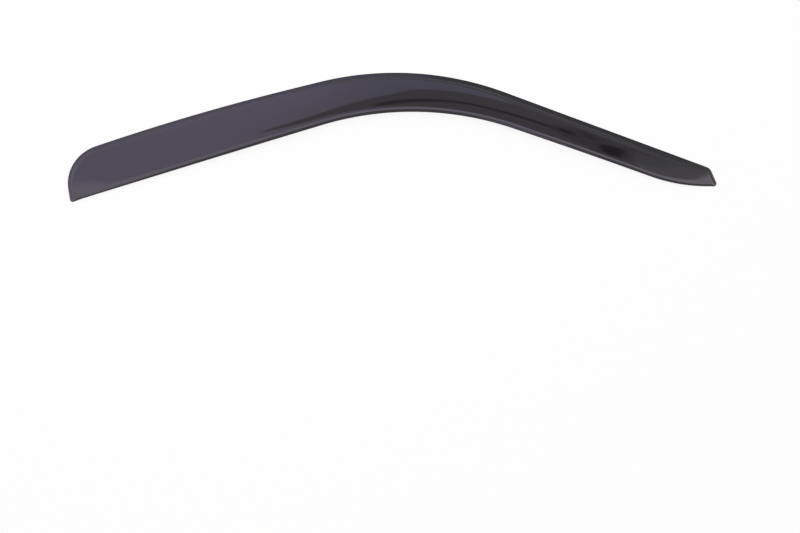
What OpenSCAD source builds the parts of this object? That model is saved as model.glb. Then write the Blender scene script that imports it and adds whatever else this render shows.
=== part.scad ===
// Window rain deflector for the front door of a car: one sheet of smoke acrylic formed into a
// long bent hood, with foam tape on the back of its flange.
// It lies on its mounting face. +X runs from the wide rear end to the narrow front tip, +Y goes
// up to the roof edge of the window, and +Z points away from the door. Z = 0 is the door frame.

/* [Roof edge] */
// Roof edge from the bend vertex back to the crown vertex
roof_run = 352; // [330:1:400]
// Slope of the roof edge behind the bend, in degrees
roof_angle = 14.9; // [12:0.1:18]
// Roof edge from the crown vertex back to the rear corner vertex
crown_run = 210; // [190:1:240]
// Slope of the roof edge behind the crown, in degrees
crown_angle = 20; // [18:0.1:24]
// Roof edge from the bend vertex forward to the tip vertex
pillar_run = 487; // [440:1:520]
// Fall of the roof edge ahead of the bend, in degrees
pillar_angle = 21.7; // [18:0.1:26]
// Radius of the bend between the roof and the windscreen pillar
bend_r = 460; // [300:1:500]
// Radius of the slow crown in the rear half of the roof edge
crown_r = 3300; // [2000:10:3400]

/* [Rear end] */
// Length of the rear end between its two corner vertices
end_len = 74; // [64:1:80]
// Lean of the rear end from the upright, in degrees
end_angle = 12; // [6:0.5:16]
// Radius of the large upper corner
corner_r = 60; // [40:1:66]
// Radius of the small lower corner
heel_r = 4; // [3:0.5:8]

/* [Front tip] */
// Length of the cut end at the tip between its two corner vertices
tip_len = 30.7; // [24:0.1:36]
// Lean of the cut end from the upright, in degrees
tip_angle = 20; // [12:0.5:26]
// Radius of the tip's upper corner
tip_r = 13; // [10:0.5:16]
// Radius of the tip's lower corner
toe_r = 5; // [3:0.5:7]
// Nearly level stretch of the lower edge just behind the tip
sweep_run = 57; // [45:1:65]
// Rise of that stretch towards the tip, in degrees
sweep_angle = 3.1; // [0.5:0.1:8]
// Radius of the sweep that leads into it
sweep_r = 240; // [150:1:260]

/* [Lower edge] */
// Depth of the lower bend vertex under the upper one
bend_depth = 66.4; // [56:0.1:76]
// Shift of the lower bend vertex towards the front
bend_shift = 8; // [0:0.5:14]
// Radius of the bend in the lower edge
underbend_r = 455; // [300:1:480]

/* [Section] */
// Thickness of the acrylic sheet
wall = 3; // [2:0.1:4]
// Width of the flat flange along the roof edge
flange_w = 6; // [5.5:0.1:9]
// Width of the shoulder between the flange and the face
shoulder_w = 8; // [6:0.1:12]
// Width of the flat rim at the two ends
rim_w = 2; // [1.5:0.1:4]
// Width of the turn-down at the two ends
turn_w = 5; // [4:0.1:8]
// Height of the shoulder
shoulder_rise = 2.6; // [2:0.1:4]
// Width over which the flange turns up into the shoulder
crease_w = 1; // [0.6:0.1:1.6]
// Further rise of the face from the shoulder to its crest in the middle of the part
face_rise = 10; // [6:0.5:14]
// Length over which the face rises from the rear end
rear_ramp = 500; // [300:5:600]
// Length over which the face rises from the tip
front_ramp = 300; // [200:5:400]
// Outer radius of the rolled lower lip
lip_r = 7.7; // [6:0.1:10]
// Angle through which the lip turns, in degrees
lip_angle = 65; // [45:1:70]
// Rounding of the polished edges
edge_r = 0.8; // [0.4:0.1:1.2]

/* [Flange and tape] */
// Distance along the edge from the rear heel to where the rim starts to widen
rear_rim_len = 30; // [20:1:40]
// Distance along the edge from the rear heel to where the flange has its full width
rear_flange_start = 130; // [110:1:160]
// Distance along the edge from the tip's toe to where the rim starts to widen
front_rim_len = 25; // [20:1:35]
// Distance along the edge from the tip's toe to where the flange has its full width
front_flange_start = 85; // [60:1:110]
// Thickness of the foam tape
tape_t = 1.2; // [0.8:0.1:2]
// Distance of the tape from both sides of the flange
tape_inset = 0.5; // [0.3:0.1:1]

/* [Hidden] */

SMOKE = [0.20, 0.19, 0.22];
TAPE = [0.12, 0.12, 0.13];

// Height of the flange's outer face over the door frame
flange_z = tape_t + wall;
// Width and depth of the rolled lip
lip_w = lip_r * sin(lip_angle);
lip_drop = lip_r * (1 - cos(lip_angle));

// Small helpers: directions, blends and a smooth step
function unit(a) = [cos(a), sin(a)];
function left_of(v) = [-v.y, v.x];
function heading(v) = atan2(v.y, v.x);
function mix(a, b, f) = a + (b - a) * f;
function ease(x) = let (c = min(max(x, 0), 1)) c * c * (3 - 2 * c);
function reversed(list) = [for (i = [len(list) - 1 : -1 : 0]) list[i]];
function wrap(a) = a - 360 * round(a / 360);

// Corner vertices of the outline, from the bend vertex outwards
bend_v = [0, 0];
crown_v = bend_v - roof_run * unit(roof_angle);
corner_v = crown_v - crown_run * unit(crown_angle);
heel_v = corner_v + end_len * unit(end_angle - 90);
tip_v = bend_v + pillar_run * unit(-pillar_angle);
toe_v = tip_v + tip_len * unit(tip_angle - 90);
sweep_v = toe_v - sweep_run * unit(sweep_angle);
underbend_v = bend_v + [bend_shift, -bend_depth];

// The outline as a loop of vertices with the rounding of each
loop_v = [heel_v, corner_v, crown_v, bend_v, tip_v, toe_v, sweep_v, underbend_v];
loop_r = [heel_r, corner_r, crown_r, bend_r, tip_r, toe_r, sweep_r, underbend_r];
corners = len(loop_v);
function vertex(i) = loop_v[(i + corners) % corners];
function side(i) = vertex(i + 1) - vertex(i);
function turn_at(i) = wrap(heading(side(i)) - heading(side(i - 1)));
function reach_at(i) = loop_r[(i + corners) % corners] * tan(abs(turn_at(i)) / 2);
// A rounding is cut back where it and its neighbour are longer than the side between them
function side_fit(i) = min(1, norm(side(i)) / (reach_at(i) + reach_at(i + 1)));
function trim_at(i) = reach_at(i) * min(side_fit(i - 1), side_fit(i));
function radius_at(i) = trim_at(i) / tan(abs(turn_at(i)) / 2);

// A rail is a chain of pieces, each [start, heading, length, turn]: straight where turn is 0.
// Both rails run from the middle of the heel to the middle of the toe.
function arc_len(i) = radius_at(i) * abs(turn_at(i)) * PI / 180;
function arc(i, sign) = [vertex(i) - sign * trim_at(i) * unit(heading(side(sign > 0 ? i - 1 : i))),
    heading(side(sign > 0 ? i - 1 : i)) + (sign > 0 ? 0 : 180), arc_len(i), sign * turn_at(i)];
function straight(i, sign) = let (v = unit(heading(side(i))))
    sign > 0 ? [vertex(i) + trim_at(i) * v, heading(v),
        norm(side(i)) - trim_at(i) - trim_at(i + 1), 0]
    : [vertex(i + 1) - trim_at(i + 1) * v, heading(v) + 180,
        norm(side(i)) - trim_at(i) - trim_at(i + 1), 0];
function first_half(p) = [p[0], p[1], p[2] / 2, p[3] / 2];
function second_half(p) = [on_piece(p, p[2] / 2), p[1] + p[3] / 2, p[2] / 2, p[3] / 2];
function on_piece(p, u) = p[3] == 0 ? p[0] + u * unit(p[1])
    : let (r = p[2] / (p[3] * PI / 180), b = p[1] + p[3] * u / p[2])
        p[0] + r * (left_of(unit(p[1])) - left_of(unit(b)));

roof_rail = [second_half(arc(0, 1)), straight(0, 1), arc(1, 1), straight(1, 1), arc(2, 1),
    straight(2, 1), arc(3, 1), straight(3, 1), arc(4, 1), straight(4, 1), first_half(arc(5, 1))];
lower_rail = [second_half(arc(0, -1)), straight(7, -1), arc(7, -1), straight(6, -1), arc(6, -1),
    straight(5, -1), first_half(arc(5, -1))];

function piece_ends(rail, i = 0, from = 0) = i == len(rail) ? [from]
    : concat([from], piece_ends(rail, i + 1, from + rail[i][2]));
roof_ends = piece_ends(roof_rail);
lower_ends = piece_ends(lower_rail);
roof_len = roof_ends[len(roof_rail)];
lower_len = lower_ends[len(lower_rail)];
function piece_of(ends, u, i = 0) = i + 2 >= len(ends) || u < ends[i + 1] ? i
    : piece_of(ends, u, i + 1);
function on_rail(rail, ends, u) = let (i = piece_of(ends, u)) on_piece(rail[i], u - ends[i]);
function along(rail, ends, u) = let (i = piece_of(ends, u), p = rail[i])
    unit(p[1] + p[3] * (u - ends[i]) / p[2]);

toe_mid = on_rail(roof_rail, roof_ends, roof_len);

// Distance from a point to a rail: the nearest of the feet that fall inside a piece
FAR = 1e6;
SLACK = 1e-5;
function inside(f) = f > -SLACK && f < 1 + SLACK;
function piece_gap(p, q) = p[3] == 0
    ? let (v = unit(p[1]), d = q - p[0]) inside(d * v / p[2]) ? abs(cross(v, d)) : FAR
    : let (r = p[2] / (p[3] * PI / 180), c = p[0] + r * left_of(unit(p[1])))
        inside(wrap(heading((q - c) * sign(r)) + 90 - p[1]) / p[3]) ? abs(norm(q - c) - abs(r))
        : FAR;
function rail_gap(rail, q) = min(norm(q - rail[0][0]), norm(q - toe_mid),
    min([for (p = rail) piece_gap(p, q)]));

// Stations pair a point of the roof rail with one of the lower rail. They are shared out between
// knots on both: the two corners, the ends of the bend, and the start of the tip's rounding.
function foot_on(i, q) = lower_ends[i] + (q - lower_rail[i][0]) * unit(lower_rail[i][1]);
roof_knots = [0, roof_ends[3], roof_ends[6], roof_ends[7], roof_ends[8], roof_len];
lower_knots = [0, foot_on(1, on_rail(roof_rail, roof_ends, roof_knots[1])), lower_ends[2],
    lower_ends[3], foot_on(5, on_rail(roof_rail, roof_ends, roof_knots[4])), lower_len];
knot_steps = [22, 14, 20, 16, 14];
// The steps shrink towards the heel and the toe, and the first and last stay clear of them
crowding = 1.6;
last_stretch = len(knot_steps) - 1;
function share(k, i) = let (n = knot_steps[k])
    k == 0 ? pow((i + 1) / (n + 1), crowding)
    : k == last_stretch ? 1 - pow(1 - i / n, crowding) : i / n;
stations = [for (k = [0 : last_stretch], i = [0 : knot_steps[k] - 1]) let (f = share(k, i))
    [mix(roof_knots[k], roof_knots[k + 1], f), mix(lower_knots[k], lower_knots[k + 1], f)]];

// How far the rim has widened into the flange, and how far the face has risen, at a station
function widened(u) = min(ease((u - rear_rim_len) / (rear_flange_start - rear_rim_len)),
    ease((roof_len - u - front_rim_len) / (front_flange_start - front_rim_len)));
function risen(u) = ease(u / rear_ramp) * ease((roof_len - u) / front_ramp);

// Distances from the roof edge at which a section is drawn, for a section of width w. Where the
// rim, the shoulder and the lip would fill more than their largest share of it, all three shrink.
largest_share = 0.85;
shoulder_steps = 6;
shoulder_crowding = 1.4;
face_steps = 6;
lip_steps = 6;
edge_arc = [0, 1 - cos(45), 1];
function section_marks(w, flat, bend) =
    let (full = flat + bend + lip_w, fit = min(1, largest_share * w / full),
        face_from = fit * (flat + bend), lip_from = w - fit * lip_w)
    concat([for (e = edge_arc) e * edge_r * fit], [flat * fit],
        [for (i = [1 : shoulder_steps])
            fit * (flat + bend * pow(i / shoulder_steps, shoulder_crowding))],
        [for (i = [1 : face_steps - 1]) mix(face_from, lip_from, i / face_steps)],
        [for (i = [0 : lip_steps - 1]) lip_from + fit * lip_r * sin(lip_angle * i / lip_steps)],
        [w - fit * edge_r * cos(lip_angle), w]);

// Height of the outer surface over the door frame at a distance t from the roof edge
function soften(x, by) = x <= 0 ? 0 : x * x / (x + by);
function arch(f) = let (g = min(f, 1)) g * (2 - g);
function lip_fall(gap) = let (e = min(max(lip_w - gap, 0), lip_w))
    lip_r - sqrt(lip_r * lip_r - e * e);
function surface_z(q, t, w, flat, bend, up) =
    let (rise = arch(soften(rail_gap(roof_rail, q) - flat, crease_w) / soften(bend, crease_w)),
        across = soften(t - flat, shoulder_w / 2) / max(soften(w - flat, shoulder_w / 2), edge_r),
        lip = mix(shoulder_rise, lip_drop, up) / lip_drop)
    flange_z + shoulder_rise * rise + face_rise * up * arch(across)
        - lip * rise * lip_fall(rail_gap(lower_rail, q));

function section(s) =
    let (a = on_rail(roof_rail, roof_ends, s[0]), b = on_rail(lower_rail, lower_ends, s[1]),
        w = norm(b - a), v = (b - a) / w, f = widened(s[0]),
        flat = mix(rim_w, flange_w, f), bend = mix(turn_w, shoulder_w, f), up = risen(s[0]))
    [for (t = section_marks(w, flat, bend)) let (q = a + t * v)
        [q.x, q.y, surface_z(q, t, w, flat, bend, up)]];

// The outer surface as a grid, and its outward normal at each point
outer_grid = [for (s = stations) section(s)];
rows = len(outer_grid);
marks = len(outer_grid[0]);
FLAT_MARKS = 4;
function at(i, j) = outer_grid[min(max(i, 0), rows - 1)][min(max(j, 0), marks - 1)];
// Near the heel and the toe the sections are short, and the wall is set straight down there
upright_below = 16;
function normal(i, j) = j < FLAT_MARKS ? [0, 0, 1]
    : let (n = cross(at(i, j + 1) - at(i, j - 1), at(i + 1, j) - at(i - 1, j)), m = n / norm(n),
        k = ease(norm(at(i, marks - 1) - at(i, 0)) / upright_below), x = k * m.x, y = k * m.y)
        [x, y, sqrt(1 - x * x - y * y)];

// One ring of the shell: the outer face with its rounded edges, then the inner face back
function edge_fall(j) = j < len(edge_arc) ? edge_r * edge_arc[len(edge_arc) - 1 - j] : 0;
function outer_point(i, j) = j == marks - 1 ? at(i, j) - edge_r * normal(i, j)
    : at(i, j) - [0, 0, edge_fall(j)];
function inner_point(i, j) = at(i, j) - wall * normal(i, j);
function ring(i) = concat([for (j = [0 : marks - 1]) outer_point(i, j)],
    [for (j = [marks - 1 : -1 : 0]) inner_point(i, j)]);

// Faces of a shell between rings of n points, closed at both ends by strips
function skin(n, m) = [for (i = [0 : m - 2], j = [0 : n - 1])
    let (a = i * n + j, b = i * n + (j + 1) % n, c = a + n, d = b + n)
        each [[a, d, b], [a, c, d]]];
function cap(n, from) = [for (j = [0 : n / 2 - 2])
    let (a = from + j, b = from + j + 1, c = from + n - 1 - j, d = from + n - 2 - j)
        each [[a, d, c], [a, b, d]]];
function flipped(faces) = [for (f = faces) [f[0], f[2], f[1]]];

// The part is centred over the origin by the outline's own corners
outline = [for (g = outer_grid) each [[g[0].x, g[0].y], [g[marks - 1].x, g[marks - 1].y]]];
low_corner = [min([for (p = outline) p.x]), min([for (p = outline) p.y])];
high_corner = [max([for (p = outline) p.x]), max([for (p = outline) p.y])];
centre = (low_corner + high_corner) / 2;

// The two sides of the tape, each drawn in equal steps along the roof edge
TAPE_STEPS = 64;
tape_from = rear_flange_start;
tape_to = roof_len - front_flange_start;
function tape_side(inset) = [for (i = [0 : TAPE_STEPS])
    let (u = mix(tape_from, tape_to, i / TAPE_STEPS))
        on_rail(roof_rail, roof_ends, u) - inset * left_of(along(roof_rail, roof_ends, u))];

// The formed acrylic sheet
module visor() {
    ring_points = 2 * marks;
    color(SMOKE)
        translate([-centre.x, -centre.y, 0])
            polyhedron(points = [for (i = [0 : rows - 1]) each ring(i)],
                faces = concat(skin(ring_points, rows), cap(ring_points, 0),
                    flipped(cap(ring_points, (rows - 1) * ring_points))), convexity = 6);
}

// The foam tape on the back of the flange
module mounting_tape() {
    color(TAPE)
        translate([-centre.x, -centre.y, 0])
            linear_extrude(height = tape_t)
                polygon(concat(tape_side(tape_inset), reversed(tape_side(flange_w - tape_inset))));
}

visor();
mounting_tape();
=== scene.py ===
"""Looks of a window rain deflector: a formed hood of smoke acrylic and its strip of foam tape.

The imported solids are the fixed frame. Both pieces are made again here as fine meshes, from the same
sizes as their solids, and get their finishes. Lengths are in metres. Angles are in degrees, apart
from the lip's, which the node trees read in radians.
"""

import logging
import math
from dataclasses import asdict, dataclass, field
from enum import Enum
from typing import Any, Mapping, Sequence, Union

import bpy
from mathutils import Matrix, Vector


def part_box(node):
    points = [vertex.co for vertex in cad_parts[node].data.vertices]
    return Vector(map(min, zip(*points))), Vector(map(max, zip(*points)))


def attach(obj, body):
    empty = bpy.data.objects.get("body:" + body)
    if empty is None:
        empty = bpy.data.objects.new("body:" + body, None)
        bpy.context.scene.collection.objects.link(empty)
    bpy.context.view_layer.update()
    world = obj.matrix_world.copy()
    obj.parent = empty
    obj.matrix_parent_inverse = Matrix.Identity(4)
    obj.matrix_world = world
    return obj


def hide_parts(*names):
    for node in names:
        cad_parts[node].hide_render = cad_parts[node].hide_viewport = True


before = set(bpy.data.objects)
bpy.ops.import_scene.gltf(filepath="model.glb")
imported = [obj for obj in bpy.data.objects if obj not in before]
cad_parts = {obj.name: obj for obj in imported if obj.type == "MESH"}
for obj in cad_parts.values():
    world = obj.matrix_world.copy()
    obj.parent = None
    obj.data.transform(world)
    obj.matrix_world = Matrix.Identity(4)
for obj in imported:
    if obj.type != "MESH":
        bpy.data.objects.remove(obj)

log = logging.getLogger("rain_deflector")
Colour = tuple[float, float, float]


class RaySight(Enum):
    """Which rays meet a thing that stands in the studio."""

    ALL = ("camera", "diffuse", "glossy", "transmission", "shadow")
    ALL_BUT_GLOSSY = ("camera", "diffuse", "transmission", "shadow")
    GLOSSY_ONLY = ("glossy",)


def unit(angle: float) -> Vector:
    """The unit vector in the outline's plane that points along an angle in degrees."""
    return Vector((math.cos(math.radians(angle)), math.sin(math.radians(angle))))


def heading(vector: Vector) -> float:
    """The angle in degrees along which a vector of the outline's plane points."""
    return math.degrees(math.atan2(vector.y, vector.x))


def wrapped(angle: float) -> float:
    """The same angle brought between -180 and 180 degrees."""
    return angle - 360.0 * round(angle / 360.0)


def left_of(vector: Vector) -> Vector:
    """The vector turned a quarter to the left."""
    return Vector((-vector.y, vector.x))


@dataclass(frozen=True)
class Stretch:
    """One piece of a rail: a straight, or an arc that turns through an angle."""

    start: Vector
    bearing: float
    length: float
    turn: float = 0.0

    def point(self, run: float) -> Vector:
        """The point at a given distance along the piece."""
        if self.turn == 0.0:
            return self.start + run * unit(self.bearing)
        radius = self.length / math.radians(self.turn)
        there = self.bearing + self.turn * run / self.length
        return self.start + radius * (left_of(unit(self.bearing)) - left_of(unit(there)))

    def direction(self, run: float) -> Vector:
        """The unit vector along the piece at a given distance."""
        return unit(self.bearing + self.turn * run / self.length)

    def first_half(self) -> "Stretch":
        """The first half of the piece."""
        return Stretch(self.start, self.bearing, self.length / 2, self.turn / 2)

    def second_half(self) -> "Stretch":
        """The second half of the piece."""
        half = self.length / 2
        return Stretch(self.point(half), self.bearing + self.turn / 2, half, self.turn / 2)


class Rail:
    """A chain of stretches from the middle of the heel to the middle of the toe."""

    def __init__(self, stretches: Sequence[Stretch]) -> None:
        """Args:
            stretches: The pieces of the chain, each starting where the last one ends.
        """
        self.stretches = list(stretches)
        self.ends = [0.0]
        for stretch in self.stretches:
            self.ends.append(self.ends[-1] + stretch.length)

    @property
    def length(self) -> float:
        """The whole length of the chain."""
        return self.ends[-1]

    def _at(self, run: float) -> tuple[Stretch, float]:
        """The piece under a distance along the chain, and the distance within it."""
        for stretch, start, end in zip(self.stretches, self.ends, self.ends[1:]):
            if run < end:
                return stretch, run - start
        return self.stretches[-1], run - self.ends[-2]

    def point(self, run: float) -> Vector:
        """The point at a distance along the chain."""
        stretch, rest = self._at(run)
        return stretch.point(rest)

    def inset_point(self, run: float, inset: float) -> Vector:
        """The point at a distance along the chain, moved to its right by an inset."""
        stretch, rest = self._at(run)
        return stretch.point(rest) - inset * left_of(stretch.direction(rest))

    def foot(self, index: int, point: Vector) -> float:
        """The distance along the chain at which a point is square to one straight of it."""
        stretch = self.stretches[index]
        return self.ends[index] + (point - stretch.start).dot(unit(stretch.bearing))


@dataclass(frozen=True)
class Outline:
    """The hood's outline: a loop of eight vertices, each with its rounding."""

    roof_run: float = 0.352
    roof_angle: float = 14.9
    crown_run: float = 0.210
    crown_angle: float = 20.0
    pillar_run: float = 0.487
    pillar_angle: float = 21.7
    bend_radius: float = 0.460
    crown_radius: float = 3.300
    end_length: float = 0.074
    end_angle: float = 12.0
    corner_radius: float = 0.060
    heel_radius: float = 0.004
    tip_length: float = 0.0307
    tip_angle: float = 20.0
    tip_radius: float = 0.013
    toe_radius: float = 0.005
    sweep_run: float = 0.057
    sweep_angle: float = 3.1
    sweep_radius: float = 0.240
    bend_depth: float = 0.0664
    bend_shift: float = 0.008
    underbend_radius: float = 0.455

    def loop(self) -> list[tuple[Vector, float]]:
        """Works out the loop from the bend, which is its zero point.

        Returns:
            The vertices and their radii, from the heel round by the roof edge.
        """
        bend = Vector((0.0, 0.0))
        crown = bend - self.roof_run * unit(self.roof_angle)
        corner = crown - self.crown_run * unit(self.crown_angle)
        heel = corner + self.end_length * unit(self.end_angle - 90.0)
        tip = bend + self.pillar_run * unit(-self.pillar_angle)
        toe = tip + self.tip_length * unit(self.tip_angle - 90.0)
        sweep = toe - self.sweep_run * unit(self.sweep_angle)
        underbend = bend + Vector((self.bend_shift, -self.bend_depth))
        return [
            (heel, self.heel_radius),
            (corner, self.corner_radius),
            (crown, self.crown_radius),
            (bend, self.bend_radius),
            (tip, self.tip_radius),
            (toe, self.toe_radius),
            (sweep, self.sweep_radius),
            (underbend, self.underbend_radius),
        ]

    def rails(self) -> tuple[Rail, Rail]:
        """Splits the rounded loop into its two rails.

        Returns:
            The roof edge with both ends, and the lower edge, each from the heel to the toe.
        """
        corners = self.loop()
        count = len(corners)

        def side(i: int) -> Vector:
            """The side from one vertex to the next."""
            return corners[(i + 1) % count][0] - corners[i % count][0]

        def turn(i: int) -> float:
            """The angle by which the loop turns at a vertex."""
            return wrapped(heading(side(i)) - heading(side(i - 1)))

        def slope(i: int) -> float:
            """The length of a rounding's legs for each unit of its radius."""
            return math.tan(math.radians(abs(turn(i))) / 2)

        def reach(i: int) -> float:
            """The length of each leg that a rounding asks for."""
            return corners[i % count][1] * slope(i)

        def fit(i: int) -> float:
            """The share of its two roundings' legs for which a side has room."""
            return min(1.0, side(i).length / (reach(i) + reach(i + 1)))

        def trim(i: int) -> float:
            """The length of each leg that a rounding gets."""
            return reach(i) * min(fit(i - 1), fit(i))

        def arc(i: int, way: int) -> Stretch:
            """The rounding of a vertex, along the loop or against it."""
            before = heading(side(i - 1 if way > 0 else i)) + (0.0 if way > 0 else 180.0)
            start = corners[i % count][0] - trim(i) * unit(before)
            length = trim(i) / slope(i) * math.radians(abs(turn(i)))
            return Stretch(start, before, length, way * turn(i))

        def straight(i: int, way: int) -> Stretch:
            """What the roundings leave of a side, along the loop or against it."""
            along = unit(heading(side(i)))
            length = side(i).length - trim(i) - trim(i + 1)
            if way > 0:
                return Stretch(corners[i % count][0] + trim(i) * along, heading(along), length)
            start = corners[(i + 1) % count][0] - trim(i + 1) * along
            return Stretch(start, heading(along) + 180.0, length)

        roof = [arc(0, 1).second_half(), straight(0, 1)]
        for i in range(1, 5):
            roof += [arc(i, 1), straight(i, 1)]
        roof.append(arc(5, 1).first_half())
        lower = [arc(0, -1).second_half(), straight(7, -1)]
        for i in (7, 6):
            lower += [arc(i, -1), straight(i - 1, -1)]
        lower.append(arc(5, -1).first_half())
        return Rail(roof), Rail(lower)


@dataclass(frozen=True)
class Stations:
    """Shares the hood's sections out along both rails, closer together at its two ends."""

    roof: Rail
    lower: Rail
    steps: tuple[int, ...] = (110, 90, 90, 60, 80)
    fine: int = 4
    crowding: float = 1.8
    lead: int = 12

    def knots(self) -> tuple[list[float], list[float]]:
        """Pairs the places where the sections change their pace.

        Returns:
            The distances along the roof rail and along the lower rail that belong together.
        """
        roof, lower = self.roof, self.lower
        # The roof's knots are the corner's end, both ends of the bend and the end of the straight
        # after it. The lower rail's lie square below them, or at the ends of its own bend.
        front = [roof.ends[3], roof.ends[6], roof.ends[7], roof.ends[8]]
        under = [
            lower.foot(1, roof.point(front[0])),
            lower.ends[2],
            lower.ends[3],
            lower.foot(5, roof.point(front[3])),
        ]
        return [0.0, *front, roof.length], [0.0, *under, lower.length]

    def pairs(self) -> list[tuple[float, float]]:
        """The paired distances of all sections, with a smooth change of pace at the knots.

        Returns:
            One pair of distances along the roof rail and the lower rail for each section.
        """
        roof_knots, lower_knots = self.knots()
        pace = PacedCurve(roof_knots, lower_knots)
        found = []
        last = len(self.steps) - 1
        for k, coarse in enumerate(self.steps):
            steps = coarse * self.fine
            for i in range(steps):
                share = i / steps
                if k == 0:
                    share = ((i + self.lead) / (steps + self.lead)) ** self.crowding
                elif k == last:
                    left = (steps - i + self.lead) / (steps + self.lead)
                    share = 1.0 - left**self.crowding
                run = roof_knots[k] + share * (roof_knots[k + 1] - roof_knots[k])
                found.append((run, pace.value(run)))
        return found


class PacedCurve:
    """A smooth curve that only rises, through given knots."""

    def __init__(self, xs: Sequence[float], ys: Sequence[float]) -> None:
        """Args:
            xs: The knots' places, in rising order.
            ys: The values there, in rising order.
        """
        self.xs, self.ys = list(xs), list(ys)
        slopes = [(d - c) / (b - a) for a, b, c, d in zip(xs, xs[1:], ys, ys[1:])]
        inner = [2.0 * a * b / (a + b) for a, b in zip(slopes, slopes[1:])]
        self.slopes = [slopes[0], *inner, slopes[-1]]

    def value(self, x: float) -> float:
        """Reads the curve.

        Args:
            x: A place between the first knot and the last.

        Returns:
            The curve's value there.
        """
        last = len(self.xs) - 2
        k = next((i for i in range(last) if x < self.xs[i + 1]), last)
        span = self.xs[k + 1] - self.xs[k]
        s = (x - self.xs[k]) / span
        rest = 1.0 - s
        start = (self.ys[k] * (1.0 + 2.0 * s) + self.slopes[k] * span * s) * rest * rest
        end = (self.ys[k + 1] * (3.0 - 2.0 * s) - self.slopes[k + 1] * span * rest) * s * s
        return start + end


Value = Union["Field", float, int, bool, str, Vector, Sequence[float]]
Inputs = Mapping[Any, Value]


class Field:
    """A value inside a node tree. Arithmetic on it adds the nodes that work it out."""

    def __init__(self, graph: "Graph", socket: bpy.types.NodeSocket) -> None:
        """Args:
            graph: The tree that the value belongs to.
            socket: The output socket that gives the value.
        """
        self.graph = graph
        self.socket = socket

    def __add__(self, other: Value) -> "Field":
        """The sum."""
        return self.graph.math("ADD", self, other)

    def __sub__(self, other: Value) -> "Field":
        """The difference."""
        return self.graph.math("SUBTRACT", self, other)

    def __rsub__(self, other: Value) -> "Field":
        """The difference from a plain number."""
        return self.graph.math("SUBTRACT", other, self)

    def __mul__(self, other: Value) -> "Field":
        """The product."""
        return self.graph.math("MULTIPLY", self, other)

    def __truediv__(self, other: Value) -> "Field":
        """The quotient."""
        return self.graph.math("DIVIDE", self, other)

    def __pow__(self, other: Value) -> "Field":
        """The power."""
        return self.graph.math("POWER", self, other)

    __radd__ = __add__
    __rmul__ = __mul__


class Graph:
    """A node tree under construction, with short ways to add nodes and join them."""

    def __init__(self, tree: bpy.types.NodeTree) -> None:
        """Args:
            tree: The tree that is built.
        """
        self.tree = tree

    def add(self, kind: str, inputs: Inputs | None = None, **settings: Any) -> bpy.types.Node:
        """Adds a node.

        Args:
            kind: The node's type.
            inputs: Values or fields for its input sockets, by name or place.
            **settings: The node's own properties.

        Returns:
            The new node.
        """
        node = self.tree.nodes.new(kind)
        for name, value in settings.items():
            setattr(node, name, value)
        for name, value in (inputs or {}).items():
            if isinstance(value, Field):
                self.tree.links.new(value.socket, node.inputs[name])
            else:
                node.inputs[name].default_value = value
        return node

    def take(
        self, kind: str, inputs: Inputs | None = None, out: Any = 0, **settings: Any
    ) -> Field:
        """Adds a node and gives one of its outputs.

        Args:
            kind: The node's type.
            inputs: Values or fields for its input sockets.
            out: The output's name or place.
            **settings: The node's own properties.

        Returns:
            The output as a field.
        """
        return Field(self, self.add(kind, inputs, **settings).outputs[out])

    def math(self, operation: str, *values: Value) -> Field:
        """Works out one arithmetic step."""
        return self.take("ShaderNodeMath", dict(enumerate(values)), operation=operation)

    def vector(self, operation: str, *values: Value) -> Field:
        """Works out one step on vectors that gives a vector."""
        return self.take("ShaderNodeVectorMath", dict(enumerate(values)), operation=operation)

    def scaled(self, vector: Field, factor: Value) -> Field:
        """The vector times a number."""
        inputs = {"Vector": vector, "Scale": factor}
        return self.take("ShaderNodeVectorMath", inputs, operation="SCALE")

    def least(self, a: Value, b: Value) -> Field:
        """The smaller of two values."""
        return self.math("MINIMUM", a, b)

    def most(self, a: Value, b: Value) -> Field:
        """The larger of two values."""
        return self.math("MAXIMUM", a, b)

    def ramp(self, value: Value, low: Value, high: Value, smooth: bool = False) -> Field:
        """Goes from 0 at low to 1 at high, evenly or with soft ends."""
        inputs = {"Value": value, "From Min": low, "From Max": high}
        form = "SMOOTHSTEP" if smooth else "LINEAR"
        return self.take("ShaderNodeMapRange", inputs, interpolation_type=form)

    def mixed(self, a: Value, b: Value, share: Value) -> Field:
        """A value between a and b."""
        return self.take("ShaderNodeMix", {"Factor": share, "A": a, "B": b}, data_type="FLOAT")

    def tint(self, share: Field, low: Value, high: Value) -> Field:
        """Mixes two colours.

        Args:
            share: How much of the second colour there is.
            low: The first colour, as numbers or as a field.
            high: The second colour, as numbers or as a field.

        Returns:
            The mixed colour.
        """
        node = self.add("ShaderNodeMix", {"Factor": share}, data_type="RGBA")
        sockets = [s for s in node.inputs if s.type == "RGBA"]
        for socket, colour in zip(sockets, (low, high)):
            if isinstance(colour, Field):
                self.tree.links.new(colour.socket, socket)
            else:
                socket.default_value = (*colour, 1.0)
        return Field(self, next(s for s in node.outputs if s.type == "RGBA"))


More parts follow.
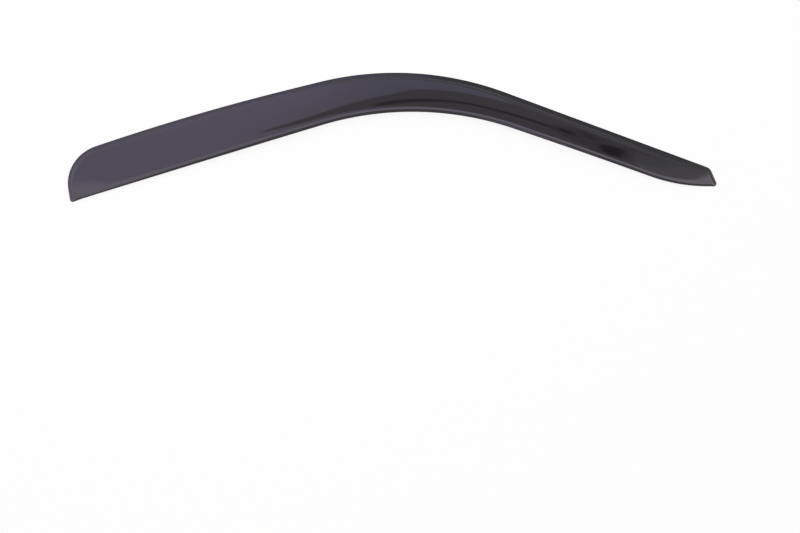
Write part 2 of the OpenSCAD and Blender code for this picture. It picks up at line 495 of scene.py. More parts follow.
class GeometryTree(Graph):
    """A Geometry Nodes tree with named inputs."""

    def __init__(self, name: str) -> None:
        """Args:
            name: The tree's name.
        """
        super().__init__(bpy.data.node_groups.new(name, "GeometryNodeTree"))
        self.entry = self.tree.nodes.new("NodeGroupInput")
        self.leave = self.tree.nodes.new("NodeGroupOutput")

    def input(self, name: str, kind: str = "Float") -> Field:
        """Adds a named input and gives its value. A geometry goes before the others."""
        faces = self.tree.interface
        item = faces.new_socket(name, in_out="INPUT", socket_type=f"NodeSocket{kind}")
        if kind == "Geometry":
            faces.move(item, 0)
        return Field(self, self.entry.outputs[name])

    def output(self, name: str, value: Field, kind: str = "Float") -> None:
        """Adds a named output that gives a value."""
        self.tree.interface.new_socket(name, in_out="OUTPUT", socket_type=f"NodeSocket{kind}")
        self.tree.links.new(value.socket, self.leave.inputs[name])

    def attribute(self, name: str, kind: str = "FLOAT") -> Field:
        """A named attribute of the geometry at hand."""
        return self.take("GeometryNodeInputNamedAttribute", {"Name": name}, data_type=kind)

    def sampled(self, geometry: Field, value: Field, index: Field, kind: str = "FLOAT") -> Field:
        """The value of a field on another geometry's point of that index."""
        inputs = {"Geometry": geometry, "Value": value, "Index": index}
        return self.take("GeometryNodeSampleIndex", inputs, data_type=kind, clamp=True)

    def gap(self, geometry: Field, point: Field) -> Field:
        """The distance from a point to a rail."""
        inputs = {"Geometry": geometry, "Sample Position": point}
        return self.take("GeometryNodeProximity", inputs, "Distance", target_element="EDGES")

    def stored(self, geometry: Field, name: str, value: Field) -> Field:
        """The geometry with a value kept on its points under a name."""
        inputs = {"Geometry": geometry, "Name": name, "Value": value}
        return self.take("GeometryNodeStoreNamedAttribute", inputs, data_type="FLOAT")

    def finish(self, geometry: Field, material: Field) -> None:
        """Smooths a geometry, makes its instances real, dresses it and puts it out."""
        geometry = self.take("GeometryNodeSetShadeSmooth", {"Geometry": geometry})
        geometry = self.take("GeometryNodeRealizeInstances", {"Geometry": geometry})
        dressed = {"Geometry": geometry, "Material": material}
        self.output("Geometry", self.take("GeometryNodeSetMaterial", dressed), "Geometry")


def worded(name: str) -> str:
    """A field's name as the words of a socket's name."""
    return name.replace("_", " ").title()


def placed(name: str, data: bpy.types.ID) -> bpy.types.Object:
    """Puts a new object into the scene.

    Args:
        name: The object's name.
        data: Its mesh, light or camera.

    Returns:
        The object.
    """
    thing = bpy.data.objects.new(name, data)
    bpy.context.scene.collection.objects.link(thing)
    return thing


def bare_material(name: str) -> tuple[bpy.types.Material, Graph]:
    """Makes a material with no nodes.

    Args:
        name: The material's name.

    Returns:
        The material, and its empty tree.
    """
    material = bpy.data.materials.new(name)
    material.use_nodes = True
    material.node_tree.nodes.clear()
    return material, Graph(material.node_tree)


def outcome(
    name: str, base: bpy.types.Mesh, tree: GeometryTree, values: Mapping[str, Any]
) -> bpy.types.Object:
    """Runs a tree on a mesh and keeps what comes out as a plain mesh object.

    Args:
        name: The new object's name.
        base: The mesh that goes in.
        tree: The tree.
        values: The tree's inputs, by socket name.

    Returns:
        The object, with no modifier left.
    """
    piece = placed(name, base)
    modifier = piece.modifiers.new(tree.tree.name, "NODES")
    modifier.node_group = tree.tree
    for item in tree.tree.interface.items_tree:
        if item.item_type == "SOCKET" and item.in_out == "INPUT" and item.name in values:
            modifier[item.identifier] = values[item.name]
    graph = bpy.context.evaluated_depsgraph_get()
    mesh = bpy.data.meshes.new_from_object(piece.evaluated_get(graph))
    piece.modifiers.clear()
    piece.data = mesh
    mesh.name = name
    bpy.data.meshes.remove(base)
    return piece


@dataclass(frozen=True)
class SheetSizes:
    """The sizes of the formed sheet's section and of how it changes along the part."""

    wall: float = 0.003
    flange_height: float = 0.0042
    flange_width: float = 0.006
    shoulder_width: float = 0.008
    rim_width: float = 0.002
    turn_width: float = 0.005
    shoulder_rise: float = 0.0026
    crease_width: float = 0.001
    face_rise: float = 0.010
    rear_ramp: float = 0.500
    front_ramp: float = 0.300
    lip_radius: float = 0.0077
    lip_angle: float = math.radians(65.0)
    edge_radius: float = 0.0008
    rear_rim: float = 0.030
    rear_flange: float = 0.130
    front_rim: float = 0.025
    front_flange: float = 0.085
    upright_below: float = 0.040


class SheetGraph(GeometryTree):
    """A Geometry Nodes tree that knows the sheet's sizes by name."""

    def __init__(self, name: str) -> None:
        """Args:
            name: The tree's name.
        """
        super().__init__(name)
        self.size = {key: self.input(worded(key)) for key in asdict(SheetSizes())}
        self.rail_length = self.input("Rail Length")

    def soften(self, x: Field, by: Value) -> Field:
        """Turns the corner of max(x, 0) into a short curve."""
        up = self.most(x, 0.0)
        return up * up / (up + by)

    def arch(self, x: Field) -> Field:
        """Rises from 0 to 1 as half an arch, and stays there."""
        capped = self.least(x, 1.0)
        return capped * (2.0 - capped)

    def widened(self, run: Field) -> Field:
        """How far the rim has widened into the flange at a distance along the roof rail."""
        size = self.size
        rear = self.ramp(run, size["rear_rim"], size["rear_flange"], True)
        front = self.ramp(self.rail_length - run, size["front_rim"], size["front_flange"], True)
        return self.least(rear, front)

    def risen(self, run: Field) -> Field:
        """How far the face has risen at a distance along the roof rail."""
        rear = self.ramp(run, 0.0, self.size["rear_ramp"], True)
        return rear * self.ramp(self.rail_length - run, 0.0, self.size["front_ramp"], True)

    def flat_and_turn(self, run: Field) -> tuple[Field, Field]:
        """The widths of the flat rim and of the shoulder next to it."""
        size, share = self.size, self.widened(run)
        flat = self.mixed(size["rim_width"], size["flange_width"], share)
        return flat, self.mixed(size["turn_width"], size["shoulder_width"], share)

    def lip_width(self) -> Field:
        """The width of the rolled lip seen from above."""
        return self.size["lip_radius"] * self.math("SINE", self.size["lip_angle"])

    def call(self, other: "SheetGraph", out: str, **inputs: Value) -> Field:
        """Adds another tree as a group, with all its sizes joined to this one's.

        Args:
            other: The tree that is used.
            out: The output that is wanted.
            **inputs: Its other inputs, by field name.

        Returns:
            The output's value.
        """
        named = {worded(key): value for key, value in {**self.size, **inputs}.items()}
        named["Rail Length"] = self.rail_length
        return self.take("GeometryNodeGroup", named, out, node_tree=other.tree)


def surface_tree() -> SheetGraph:
    """Makes the tree that gives a point of the sheet's outer surface.

    Returns:
        A tree from a section and a distance across it to the point.
    """
    g = SheetGraph("Outer surface")
    size = g.size
    roof, lower = g.input("Roof Rail", "Geometry"), g.input("Lower Rail", "Geometry")
    section, across = g.input("Section", "Int"), g.input("Across")
    place = g.take("GeometryNodeInputPosition")
    start = g.sampled(roof, place, section, "FLOAT_VECTOR")
    span = g.vector("SUBTRACT", g.sampled(lower, place, section, "FLOAT_VECTOR"), start)
    width = g.take("ShaderNodeVectorMath", {0: span}, "Value", operation="LENGTH")
    run = g.sampled(roof, g.attribute("run"), section)
    flat, turn = g.flat_and_turn(run)
    up = g.risen(run)
    point = g.vector("ADD", start, g.scaled(span, across / width))

    crease = size["crease_width"]
    rise = g.arch(g.soften(g.gap(roof, point) - flat, crease) / g.soften(turn, crease))
    half = size["shoulder_width"] * 0.5
    whole = g.most(g.soften(width - flat, half), size["edge_radius"])
    bulge = size["face_rise"] * up * g.arch(g.soften(across - flat, half) / whole)

    radius, reach = size["lip_radius"], g.lip_width()
    drop = radius * (1.0 - g.math("COSINE", size["lip_angle"]))
    inward = g.least(g.most(reach - g.gap(lower, point), 0.0), reach)
    fall = radius - g.math("SQRT", radius * radius - inward * inward)
    strength = g.mixed(size["shoulder_rise"], drop, up) / drop
    shoulder = size["shoulder_rise"] * rise
    height = size["flange_height"] + shoulder + bulge - strength * rise * fall
    lift = g.take("ShaderNodeCombineXYZ", {"Z": height})
    g.output("Point", g.vector("ADD", point, lift), "Vector")
    return g


@dataclass(frozen=True)
class SectionMarks:
    """How closely the ring round a section of the sheet is drawn."""

    face_marks: int = 52
    edge_steps: int = 5
    flat_share: float = 0.12
    turn_share: float = 0.42
    face_share: float = 0.72
    turn_crowding: float = 1.4
    largest_share: float = 0.85
    slope_step: float = 0.01
    seam_gap: float = 1e-6

    @property
    def ring(self) -> int:
        """The number of marks in a whole ring."""
        return 2 * (self.face_marks + 2 * self.edge_steps)


def section_tree(marks: SectionMarks) -> SheetGraph:
    """Makes the tree that runs round the section of the sheet.

    A ring goes along the outer face, round the lip's edge, back along the inner face and round the
    roof edge, with both edges rounded.

    Args:
        marks: How closely the ring is drawn.

    Returns:
        A tree from a mark's number to its distance across and its depth under the outer surface.
    """
    g = SheetGraph("Sheet section")
    size = g.size
    mark, width, run = g.input("Mark"), g.input("Width"), g.input("Run")
    half_ring = marks.ring / 2
    inside = g.math("GREATER_THAN", mark, half_ring - 0.5)
    place = mark - inside * half_ring
    on_edge = g.math("GREATER_THAN", place, marks.face_marks - 0.5)

    flat, turn = g.flat_and_turn(run)
    reach, edge = g.lip_width(), size["edge_radius"]
    fit = g.least(1.0, width * marks.largest_share / (flat + turn + reach))
    foreshortened = edge * g.math("COSINE", size["lip_angle"])

    forward = place / (marks.face_marks - 1)
    along = g.mixed(forward, 1.0 - forward, inside)
    over_flat = g.ramp(along, 0.0, marks.flat_share)
    over_turn = g.ramp(along, marks.flat_share, marks.turn_share) ** marks.turn_crowding
    over_face = g.ramp(along, marks.turn_share, marks.face_share)
    over_lip = g.math("SINE", g.ramp(along, marks.face_share, 1.0) * size["lip_angle"])
    over_lip = over_lip / g.math("SINE", size["lip_angle"])
    face_width = width - fit * (flat + turn + reach)
    rim = edge + (flat - edge) * over_flat + turn * over_turn + (reach - foreshortened) * over_lip
    face_across = fit * rim + face_width * over_face

    step = place - (marks.face_marks - 1)
    past = g.math("GREATER_THAN", step, marks.edge_steps + 0.5)
    angle = (step - past) * (math.pi / 2 / marks.edge_steps)
    hollow = 1.0 - g.math("SINE", angle)
    down = edge * (1.0 - g.math("COSINE", angle)) + (size["wall"] - edge * 2.0) * past
    lip_edge = width - fit * foreshortened * hollow
    edge_across = g.mixed(lip_edge, fit * edge * hollow, inside)
    edge_depth = g.mixed(down, size["wall"] - down, inside)

    g.output("Across", g.mixed(face_across, edge_across, on_edge))
    g.output("Depth", g.mixed(size["wall"] * inside, edge_depth, on_edge))
    return g


def sheet_tree(marks: SectionMarks, rows: int, fine: int) -> SheetGraph:
    """Makes the tree that forms the whole sheet between its two rails.

    Args:
        marks: How closely each section is drawn.
        rows: The number of sections.
        fine: The number of rail points from one section to the next.

    Returns:
        A tree from the two rails to the closed sheet.
    """
    g = SheetGraph("Formed sheet")
    size = g.size
    rails, material = g.input("Geometry", "Geometry"), g.input("Material", "Material")
    is_lower = g.math("GREATER_THAN", g.attribute("rail"), 0.5)
    parted = g.add("GeometryNodeSeparateGeometry", {"Geometry": rails, "Selection": is_lower})
    lower, roof = Field(g, parted.outputs["Selection"]), Field(g, parted.outputs["Inverted"])

    inputs = {"Vertices X": rows + 2, "Vertices Y": marks.ring + 1}
    grid = g.take("GeometryNodeMeshGrid", inputs, "Mesh")
    index = g.take("GeometryNodeInputIndex")
    row = g.math("FLOOR", (index + 0.5) / (marks.ring + 1))
    column = g.math("MODULO", index - row * (marks.ring + 1), marks.ring)
    body_row = g.least(g.most(row - 1.0, 0.0), rows - 1)
    section = g.math("ROUND", body_row * fine)
    is_pole = g.math("ABSOLUTE", row - 1.0 - body_row)

    place = g.take("GeometryNodeInputPosition")
    start = g.sampled(roof, place, section, "FLOAT_VECTOR")
    end = g.sampled(lower, place, section, "FLOAT_VECTOR")
    width = g.take("ShaderNodeVectorMath", {0: start, 1: end}, "Value", operation="DISTANCE")
    run = g.sampled(roof, g.attribute("run"), section)
    profile = section_tree(marks)
    ring_across = g.call(profile, "Across", mark=column, width=width, run=run)
    ring_depth = g.call(profile, "Depth", mark=column, width=width, run=run)
    across = g.mixed(ring_across, width * 0.5, is_pole)
    depth = g.mixed(ring_depth, size["wall"] * 0.5, is_pole)

    surface = surface_tree()

    def outer(which: Field, where: Field) -> Field:
        """The point of the outer surface on a section, at a distance across it."""
        rails_in = {"roof_rail": roof, "lower_rail": lower}
        return g.call(surface, "Point", section=which, across=where, **rails_in)

    step = width * marks.slope_step
    up_across = outer(section, g.least(across + step, width))
    down_across = outer(section, g.most(across - step, 0.0))
    ahead, behind = outer(section + 1.0, across), outer(section - 1.0, across)
    crosswise = g.vector("SUBTRACT", up_across, down_across)
    lengthwise = g.vector("SUBTRACT", ahead, behind)
    normal = g.vector("NORMALIZE", g.vector("CROSS_PRODUCT", crosswise, lengthwise))
    upright = g.ramp(width, 0.0, size["upright_below"], True)
    leaning = g.scaled(normal, upright)
    straight_up = g.scaled(g.take("ShaderNodeCombineXYZ", {"Z": 1.0}), 1.0 - upright)
    normal = g.vector("NORMALIZE", g.vector("ADD", leaning, straight_up))

    point = g.vector("SUBTRACT", outer(section, across), g.scaled(normal, depth))
    shaped = g.stored(grid, "from_roof", across)
    shaped = g.stored(shaped, "depth", depth)
    shaped = g.take("GeometryNodeSetPosition", {"Geometry": shaped, "Position": point})
    inputs = {"Geometry": shaped, "Distance": marks.seam_gap}
    shaped = g.take("GeometryNodeMergeByDistance", inputs)
    g.finish(g.take("GeometryNodeFlipFaces", {"Mesh": shaped}), material)
    return g


def path_mesh(
    name: str, chains: Sequence[Sequence[Vector]], runs: Sequence[Sequence[float]]
) -> bpy.types.Mesh:
    """Makes a mesh of open chains of edges.

    Args:
        name: The mesh's name.
        chains: The points of each chain, in the plane of the door frame.
        runs: The distance along its chain at each point.

    Returns:
        The mesh, whose points keep their chain's number as rail and their distance as run.
    """
    points = [(p.x, p.y, 0.0) for chain in chains for p in chain]
    edges, first = [], 0
    for chain in chains:
        edges += [(first + i, first + i + 1) for i in range(len(chain) - 1)]
        first += len(chain)
    mesh = bpy.data.meshes.new(name)
    mesh.from_pydata(points, edges, [])
    numbers = [float(k) for k, chain in enumerate(chains) for _ in chain]
    mesh.attributes.new("rail", "FLOAT", "POINT").data.foreach_set("value", numbers)
    along = [run for chain in runs for run in chain]
    mesh.attributes.new("run", "FLOAT", "POINT").data.foreach_set("value", along)
    return mesh


@dataclass
class Hood:
    """The formed acrylic sheet."""

    outline: Outline = field(default_factory=Outline)
    sizes: SheetSizes = field(default_factory=SheetSizes)
    marks: SectionMarks = field(default_factory=SectionMarks)
    node: str = "visor"
    slot: str = "smoke_acrylic"

    def __post_init__(self) -> None:
        """Works out the rails and the shift that brings them to the frame's own place."""
        self.roof, self.lower = self.outline.rails()
        self.stations = Stations(self.roof, self.lower)
        pairs = self.stations.pairs()
        self.runs = [[a for a, _ in pairs], [b for _, b in pairs]]
        points = [rail.point(run) for rail, runs in self.rails() for run in runs]
        low = Vector((min(p.x for p in points), min(p.y for p in points)))
        high = Vector((max(p.x for p in points), max(p.y for p in points)))
        box_low, box_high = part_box(self.node)
        self.shift = ((box_low + box_high).to_2d() - low - high) / 2

    def rails(self) -> list[tuple[Rail, list[float]]]:
        """Both rails, each with its sections' distances along it."""
        return list(zip((self.roof, self.lower), self.runs))

    def build(self, material: bpy.types.Material) -> bpy.types.Object:
        """Forms the sheet and puts it in the place of its solid.

        Args:
            material: The sheet's finish.

        Returns:
            The finished piece.
        """
        lines = [[rail.point(run) + self.shift for run in runs] for rail, runs in self.rails()]
        fine = self.stations.fine
        rows = (len(lines[0]) - 1) // fine + 1
        tree = sheet_tree(self.marks, rows, fine)
        values = {worded(key): value for key, value in asdict(self.sizes).items()}
        values |= {"Rail Length": self.roof.length, "Material": material}
        piece = outcome("acrylic_hood", path_mesh("rails", lines, self.runs), tree, values)
        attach(piece, "root")
        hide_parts(self.node)
        return piece


def strip_tree(rounding_points: int) -> GeometryTree:
    """Makes the tree that lays a strip with rounded edges along a path.

    Args:
        rounding_points: The number of points on each rounded edge.

    Returns:
        The tree.
    """
    g = GeometryTree("Tape strip")
    path, material = g.input("Geometry", "Geometry"), g.input("Material", "Material")
    width, thickness, rounding = g.input("Width"), g.input("Thickness"), g.input("Rounding")
    line = g.take("GeometryNodeMeshToCurve", {"Mesh": path})
    line = g.take("GeometryNodeSetCurveNormal", {"Curve": line}, mode="Z_UP")
    inputs = {"Width": width, "Height": thickness}
    profile = g.take("GeometryNodeCurvePrimitiveQuadrilateral", inputs)
    inputs = {"Curve": profile, "Count": rounding_points, "Radius": rounding}
    profile = g.take("GeometryNodeFilletCurve", inputs, mode="POLY")
    inputs = {"Curve": line, "Profile Curve": profile, "Fill Caps": True}
    strip = g.take("GeometryNodeCurveToMesh", inputs)
    lift = g.take("ShaderNodeCombineXYZ", {"Z": thickness * 0.5})
    g.finish(g.take("GeometryNodeSetPosition", {"Geometry": strip, "Offset": lift}), material)
    return g


@dataclass
class Tape:
    """The strip of foam tape on the back of the flange."""

    hood: Hood
    thickness: float = 0.0012
    inset: float = 0.0005
    rounding: float = 0.00012
    rounding_points: int = 4
    steps: int = 700
    node: str = "mounting_tape"
    slot: str = "foam_tape"

    def build(self, material: bpy.types.Material) -> bpy.types.Object:
        """Lays the strip along the roof edge and puts it in the place of its solid.

        Args:
            material: The tape's finish.

        Returns:
            The finished piece.
        """
        sizes, roof = self.hood.sizes, self.hood.roof
        first, last = sizes.rear_flange, roof.length - sizes.front_flange
        runs = [first + (last - first) * i / self.steps for i in range(self.steps + 1)]
        line = [roof.inset_point(run, sizes.flange_width / 2) + self.hood.shift for run in runs]
        values = {
            "Width": sizes.flange_width - 2 * self.inset,
            "Thickness": self.thickness,
            "Rounding": self.rounding,
            "Material": material,
        }
        tree = strip_tree(self.rounding_points)
        piece = outcome("foam_tape", path_mesh("tape_line", [line], [runs]), tree, values)
        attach(piece, "root")
        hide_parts(self.node)
        return piece


class Finish(Graph):
    """A material under construction, with one Principled shader."""

    def __init__(self, name: str) -> None:
        """Args:
            name: The material's name.
        """
        self.material = bpy.data.materials.new(name)
        self.material.use_nodes = True
        super().__init__(self.material.node_tree)
        self.shader = self.tree.nodes["Principled BSDF"]
        self.place = self.take("ShaderNodeTexCoord", out="Object")

    def set(self, **values: Value) -> None:
        """Sets the shader's sockets, by name with underscores for spaces."""
        for key, value in values.items():
            socket = self.shader.inputs[key.replace("_", " ")]
            if isinstance(value, Field):
                self.tree.links.new(value.socket, socket)
            else:
                socket.default_value = value

    def noise(
        self, scale: float, detail: float = 1.0, stretch: Sequence[float] = (1, 1, 1)
    ) -> Field:
        """A noise of about the given number of grains to a metre."""
        place = self.take("ShaderNodeMapping", {"Vector": self.place, "Scale": stretch})
        inputs = {"Vector": place, "Scale": scale, "Detail": detail}
        return self.take("ShaderNodeTexNoise", inputs, "Fac")

    def spots(self, scale: float) -> Field:
        """The distance to the nearest of scattered points, of which so many lie on a metre."""
        inputs = {"Vector": self.place, "Scale": scale}
        return self.take("ShaderNodeTexVoronoi", inputs, "Distance")

    def kept(self, name: str) -> Field:
        """A value that the mesh keeps on its points under a name."""
        return self.take("ShaderNodeAttribute", out="Fac", attribute_name=name)

    def band(self, value: Field, low: float, high: float, soft: float) -> Field:
        """Is 1 from low to high, and fades to 0 within a soft margin outside."""
        rise = self.ramp(value, low - soft, low, True)
        return rise * self.ramp(high + soft - value, 0.0, soft, True)

    def bump(self, height: Field, distance: float, below: Field | None = None) -> Field:
        """A normal disturbed by a height of up to the given distance."""
        inputs = {"Height": height, "Distance": distance, "Strength": 1.0}
        if below is not None:
            inputs["Normal"] = below
        return self.take("ShaderNodeBump", inputs, "Normal")


@dataclass(frozen=True)
class SmokeAcrylic:
    """Polished dark smoke acrylic, with the faint unevenness of a formed sheet and painted shade at
    its roof edge.
    """

    deep: Colour = (0.0115, 0.0098, 0.0116)
    light: Colour = (0.0148, 0.0130, 0.0150)
    # rim is the colour of painted shade: a dark band along the roof edge of the outer face.
    rim: Colour = (0.0020, 0.0018, 0.0020)
    cut_edge: Colour = (0.0300, 0.0275, 0.0310)
    dust: Colour = (0.2400, 0.2300, 0.2300)
    outer_fade: float = 0.0002
    # Width and fade of the painted shade band along the roof edge.
    rim_width: float = 0.0012
    rim_fade: float = 0.0032
    edge_rounding: float = 0.0011
    edge_fade: float = 0.0003
    dust_cells: float = 900.0
    dust_radius: float = 0.055
    dust_core: float = 0.035
    dust_patches: float = 60.0
    dust_cover: tuple[float, float] = (0.62, 0.66)
    dust_strength: float = 0.5
    mottle: float = 7.0
    mottle_detail: float = 3.0
    refraction: float = 1.49
    roughness: float = 0.055
    edge_roughness: float = 0.38
    smears: float = 16.0
    smear_detail: float = 4.0
    smear_stretch: tuple[float, float, float] = (0.35, 1.0, 1.0)
    smear_range: tuple[float, float] = (0.8, 1.3)
    grains: float = 420.0
    grain_height: float = 0.0000015
    waves: float = 9.0
    wave_height: float = 0.0004

    def material(self, sizes: SheetSizes) -> bpy.types.Material:
        """Makes the material.

        Args:
            sizes: The sheet's sizes, which say where the cut edges lie.

        Returns:
            The material.
        """
        f = Finish("smoke_acrylic")
        from_roof, depth = f.kept("from_roof"), f.kept("depth")
        outer = f.ramp(sizes.wall / 2 - depth, 0.0, self.outer_fade)
        # Painted shade: a darker band along the roof edge, on the outer face only, where the tape
        # behind the flange keeps light from shining through the sheet.
        rim = f.band(from_roof, 0.0, self.rim_width, self.rim_fade) * outer
        rounding = self.edge_rounding
        cut = f.band(depth, rounding, sizes.wall - rounding, self.edge_fade)
        specks = f.ramp(f.spots(self.dust_cells), self.dust_radius, self.dust_core)
        sparse = f.ramp(f.noise(self.dust_patches), *self.dust_cover)

        shade = f.tint(f.noise(self.mottle, self.mottle_detail), self.deep, self.light)
        # The rim's painted shade darkens the base colour along the roof edge.
        shade = f.tint(rim, shade, self.rim)
        shade = f.tint(cut, shade, self.cut_edge)
        shade = f.tint(specks * sparse * self.dust_strength, shade, self.dust)
        smears = f.noise(self.smears, self.smear_detail, self.smear_stretch)
        least, most = (self.roughness * share for share in self.smear_range)
        gloss = f.mixed(least, most, smears)
        f.set(Base_Color=shade, IOR=self.refraction)
        f.set(Roughness=f.mixed(gloss, self.edge_roughness, cut))
        waves = f.bump(f.noise(self.waves), self.wave_height)
        f.set(Normal=f.bump(f.noise(self.grains), self.grain_height, waves))
        return f.material


@dataclass(frozen=True)
class FoamTape:
    """Matt closed-cell foam."""

    dark: Colour = (0.034, 0.034, 0.035)
    light: Colour = (0.062, 0.062, 0.065)
    cells: float = 3200.0
    cell_height: float = 0.00008
    roughness: float = 0.85

    def material(self) -> bpy.types.Material:
        """Makes the material.

        Returns:
            The material.
        """
        f = Finish("foam_tape")
        cells = f.spots(self.cells)
        f.set(Base_Color=f.tint(cells, self.dark, self.light), Roughness=self.roughness)
        f.set(Normal=f.bump(cells, self.cell_height))
        return f.material


@dataclass(frozen=True)
class Card:
    """A glowing card over the table, which is only seen as a mirror image in gloss.

    Its glow goes evenly from one colour at its first place along X to another at its second, and it
    fades out within a margin along its edge.
    """

    name: str
    height: float
    corners: tuple[tuple[float, float], ...]
    first_glow: Colour
    second_glow: Colour
    places: tuple[float, float] = (-1.0, 1.0)
    rounds: int = 2
    margin: float = 0.03

    def loop(self) -> list[Vector]:
        """The outline, turned to the left, with its corners cut in a few rounds."""
        points = [Vector(corner) for corner in self.corners]
        for _ in range(self.rounds):
            following = points[1:] + points[:1]
            points = [a.lerp(b, share) for a, b in zip(points, following) for share in (0.25, 0.75)]
        return points

    def inset(self, points: Sequence[Vector]) -> list[Vector]:
        """The same outline moved inwards by the margin."""
        before, after = [points[-1], *points[:-1]], [*points[1:], points[0]]
        sides = [(b - a).normalized() for a, b in zip(before, after)]
        return [point + self.margin * left_of(side) for point, side in zip(points, sides)]

    def build(self) -> bpy.types.Object:
        """Hangs the card.

        Returns:
            The card.
        """
        rim = self.loop()
        count = len(rim)
        points = [(*point, self.height) for point in (*rim, *self.inset(rim))]
        border = [(i, (i + 1) % count, (i + 1) % count + count, i + count) for i in range(count)]
        mesh = bpy.data.meshes.new(self.name)
        mesh.from_pydata(points, [], [*border, range(count, 2 * count)])
        solid = [0.0] * count + [1.0] * count
        mesh.attributes.new("solid", "FLOAT", "POINT").data.foreach_set("value", solid)
        card = placed(self.name, mesh)
        material, g = bare_material(self.name)
        place = g.take("ShaderNodeTexCoord", out="Object")
        share = g.ramp(g.take("ShaderNodeSeparateXYZ", {0: place}, "X"), *self.places)
        glow = g.tint(share, self.first_glow, self.second_glow)
        seen = g.take("ShaderNodeAttribute", out="Fac", attribute_name="solid")
        clear = g.take("ShaderNodeBsdfTransparent")
        lit = g.take("ShaderNodeEmission", {"Color": glow})
        surface = g.take("ShaderNodeMixShader", {0: seen, 1: clear, 2: lit})
        g.add("ShaderNodeOutputMaterial", {"Surface": surface})
        mesh.materials.append(material)
        show(card, RaySight.GLOSSY_ONLY)
        return card


def surroundings() -> list[Card]:
    """The room round the table as the gloss mirrors it.

    Returns:
        A violet ceiling that dims to the right, two pale walls, bright softboxes in front and at
        both sides, and a dark corner with a dimmer part, a streak and spots in it.
    """
    violet, pale_violet = (1.66, 1.53, 2.14), (1.13, 1.09, 1.55)
    near_left, near_right = (2.30, 2.15, 2.75), (2.60, 2.45, 2.80)
    side_left, side_right = (2.30, 2.15, 2.75), (2.90, 2.75, 3.05)
    pale, dull = (1.03, 1.01, 1.08), (0.80, 0.79, 0.84)
    grey, dim = (0.65, 0.62, 0.69), (0.47, 0.42, 0.46)
    deep, black = (0.20, 0.17, 0.18), (0.02, 0.02, 0.02)
    ceiling = ((-5.0, 0.2), (5.0, 0.2), (5.0, 2.8), (-5.0, 2.8))
    front = (
        (-5.0, -3.0), (-0.54, -3.0), (-0.42, -1.20), (-0.25, -0.74), (-0.12, -0.62), (0.90, -0.60),
        (0.90, 0.44), (0.80, 0.42), (0.74, 0.29), (0.60, 0.29), (0.30, 0.42), (0.10, 0.50),
        (-0.40, 0.44), (-0.60, 0.33), (-5.0, 0.33),
    )
    left_side = ((-5.0, 0.2), (-1.00, 0.2), (-0.90, 0.50), (-1.6, 1.30), (-5.0, 3.00))
    right_side = ((0.87, -0.70), (5.0, -0.70), (5.0, 2.30), (2.0, 1.25), (0.98, 0.48), (0.87, 0.44))
    wall = ((0.66, 0.25), (5.0, 0.25), (5.0, 6.0), (1.2, 6.0), (0.86, 2.6), (0.66, 1.6))
    far_wall = ((0.84, 0.62), (5.0, 1.70), (5.0, 6.0), (1.1, 6.0), (0.84, 2.6), (0.78, 1.4))
    corner = (
        (-0.43, 0.575), (-0.28, 0.585), (-0.04, 0.630), (0.10, 0.57), (0.25, 0.47), (0.45, 0.40),
        (0.66, 0.33), (0.74, 0.40), (0.80, 0.60), (0.86, 0.80), (0.94, 1.30), (1.06, 1.90),
        (1.25, 2.45), (1.15, 2.65), (1.00, 2.50), (0.80, 1.98), (0.52, 1.63), (0.25, 1.45),
        (0.06, 1.32), (-0.03, 1.08), (-0.20, 0.79), (-0.41, 0.64),
    )
    dim_part = (
        (0.50, 0.84), (0.66, 0.62), (0.80, 0.66), (0.91, 1.00), (0.98, 1.60), (0.93, 1.75),
        (0.86, 1.66), (0.62, 1.22),
    )
    streak = (
        (-0.08, 0.64), (0.04, 0.73), (0.22, 0.88), (0.44, 0.94), (0.66, 1.10), (0.62, 1.21),
        (0.50, 1.15), (0.38, 1.02), (0.20, 0.97), (0.04, 0.88), (-0.07, 0.77),
    )
    upper_spot = ((0.60, 1.00), (0.70, 1.03), (0.79, 1.28), (0.72, 1.34))
    lower_spot = ((0.67, 0.61), (0.76, 0.66), (0.90, 1.08), (0.84, 1.10), (0.74, 0.92))
    upper_line = ((0.76, 1.08), (0.82, 1.12), (0.95, 1.60), (0.90, 1.66))
    return [
        Card("ceiling", 1.24, ceiling, violet, pale_violet, (-0.52, 0.02), rounds=0),
        Card("right_wall", 1.235, wall, pale, pale, rounds=0),
        Card("far_wall", 1.23, far_wall, dull, dull, rounds=0),
        Card("front_softbox", 1.22, front, near_left, near_right, (0.0, 0.4), rounds=0),
        Card("left_softbox", 1.22, left_side, side_left, side_left, rounds=0, margin=0.08),
        Card("right_softbox", 1.22, right_side, side_right, side_right, rounds=0),
        Card("dark_corner", 1.21, corner, grey, grey, margin=0.016),
        Card("dim_part", 1.20, dim_part, dim, dim, margin=0.02),
        Card("dark_streak", 1.19, streak, deep, deep, margin=0.012),
        Card("upper_dark_spot", 1.18, upper_spot, black, deep, (0.60, 0.80), margin=0.01),
        Card("lower_dark_spot", 1.17, lower_spot, black, black, margin=0.01),
        Card("upper_dark_line", 1.16, upper_line, deep, dim, (0.80, 0.95), margin=0.005),
    ]


def show(thing: bpy.types.Object, sight: RaySight) -> None:
    """Lets only some rays meet a thing."""
    for ray in RaySight.ALL.value:
        setattr(thing, f"visible_{ray}", ray in sight.value)


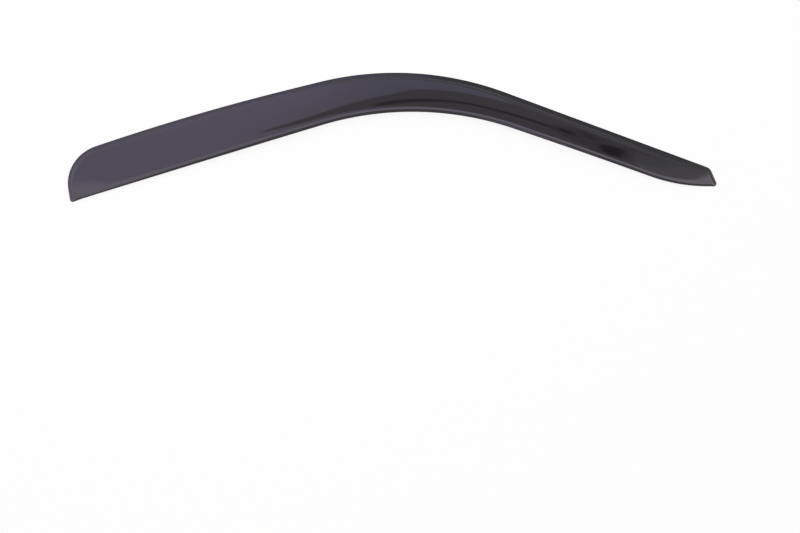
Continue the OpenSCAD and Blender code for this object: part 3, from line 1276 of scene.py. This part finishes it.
@dataclass
class Studio:
    """A plain white table under soft light."""

    table_size: float = 12.0
    table_colour: Colour = (0.86, 0.86, 0.86)
    table_glow: float = 0.90
    mirrored_table: float = 0.60
    sky_strength: float = 0.55
    left_room: Colour = (1.30, 1.23, 1.66)
    right_room: Colour = (0.35, 0.35, 0.38)
    near_room: Colour = (0.82, 0.78, 0.88)
    side_blend: float = 0.35
    near_blend: float = 0.25
    lamp_power: float = 60.0
    lamp_place: tuple[float, float, float] = (-0.4, 0.6, 3.0)
    lamp_side: float = 2.6

    def ray(self, graph: Graph, *names: str) -> Field:
        """Tells rays apart.

        Args:
            graph: The tree that asks.
            *names: The kinds of ray that count.

        Returns:
            1 for rays of these kinds, and 0 for others.
        """
        path = graph.add("ShaderNodeLightPath")
        kinds = [Field(graph, path.outputs[f"Is {name} Ray"]) for name in names]
        total = kinds[0]
        for kind in kinds[1:]:
            total = graph.most(total, kind)
        return total

    def build_table(self) -> bpy.types.Object:
        """Lays the table under the object.

        Returns:
            The table.
        """
        half = self.table_size / 2
        mesh = bpy.data.meshes.new("table")
        corners = [(-half, -half, 0.0), (half, -half, 0.0), (half, half, 0.0), (-half, half, 0.0)]
        mesh.from_pydata(corners, [], [(0, 1, 2, 3)])
        table = placed("table", mesh)
        material, g = bare_material("table_white")
        matt = g.take("ShaderNodeBsdfDiffuse", {"Color": (*self.table_colour, 1.0)})
        strength = g.mixed(1.0, self.mirrored_table, self.ray(g, "Glossy"))
        glow = g.take("ShaderNodeEmission", {"Strength": strength})
        share = self.ray(g, "Camera", "Glossy", "Transmission") * self.table_glow
        surface = g.take("ShaderNodeMixShader", {0: share, 1: matt, 2: glow})
        g.add("ShaderNodeOutputMaterial", {"Surface": surface})
        mesh.materials.append(material)
        return table

    def build_sky(self) -> bpy.types.World:
        """Surrounds the scene with even white light, and with a dimmer room in mirror images.

        Returns:
            The world.
        """
        world = bpy.data.worlds.new("white_room")
        bpy.context.scene.world = world
        world.use_nodes = True
        g = Graph(world.node_tree)
        g.tree.nodes.clear()
        aim = g.add("ShaderNodeSeparateXYZ", {0: g.take("ShaderNodeTexCoord", out="Generated")})
        x, y = Field(g, aim.outputs["X"]), Field(g, aim.outputs["Y"])
        rightwards = g.ramp(x, -self.side_blend, self.side_blend)
        room = g.tint(rightwards, self.left_room, self.right_room)
        room = g.tint(g.ramp(0.0 - y, 0.0, self.near_blend, True), room, self.near_room)
        colour = g.tint(self.ray(g, "Glossy"), (1.0, 1.0, 1.0), room)
        strength = g.mixed(self.sky_strength, 1.0, self.ray(g, "Camera", "Glossy", "Transmission"))
        sky = g.take("ShaderNodeBackground", {"Color": colour, "Strength": strength})
        g.add("ShaderNodeOutputWorld", {"Surface": sky})
        return world

    def build_lamp(self) -> bpy.types.Object:
        """Hangs one large soft lamp over the table.

        Returns:
            The lamp.
        """
        data = bpy.data.lights.new("overhead_softbox", "AREA")
        data.size = self.lamp_side
        data.energy = self.lamp_power
        lamp = placed("overhead_softbox", data)
        lamp.location = self.lamp_place
        lamp.rotation_euler = (-Vector(self.lamp_place)).to_track_quat("-Z", "Y").to_euler()
        show(lamp, RaySight.ALL_BUT_GLOSSY)
        return lamp


@dataclass
class PhotoCamera:
    """The camera at the photo's viewing angle."""

    look_at: tuple[float, float, float] = (0.0121, -0.2060, 0.0)
    distance: float = 2.307
    elevation: float = 75.0
    focal_length: float = 69.0

    def build(self) -> bpy.types.Object:
        """Makes the camera and sets it as the scene's.

        Returns:
            The camera.
        """
        data = bpy.data.cameras.new("photo_camera")
        data.lens = self.focal_length
        camera = placed("photo_camera", data)
        rise = math.radians(self.elevation)
        back = Vector((0.0, -math.cos(rise), math.sin(rise)))
        camera.location = Vector(self.look_at) + self.distance * back
        camera.rotation_euler = (math.pi / 2 - rise, 0.0, 0.0)
        bpy.context.scene.camera = camera
        return camera


def report(piece: bpy.types.Object) -> None:
    """Logs a piece's size in triangles."""
    triangles = sum(len(p.vertices) - 2 for p in piece.data.polygons)
    log.info("%s: %d triangles", piece.name, triangles)


def main() -> None:
    """Builds the object's pieces and the studio round them."""
    logging.basicConfig(level=logging.INFO, format="%(name)s: %(message)s")
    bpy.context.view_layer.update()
    PhotoCamera().build()
    studio = Studio()
    studio.build_table()
    studio.build_sky()
    studio.build_lamp()
    for card in surroundings():
        card.build()
    hood = Hood()
    report(hood.build(SmokeAcrylic().material(hood.sizes)))
    report(Tape(hood).build(FoamTape().material()))
    bpy.context.scene.view_settings.view_transform = "Standard"


if __name__ == "__main__":
    main()
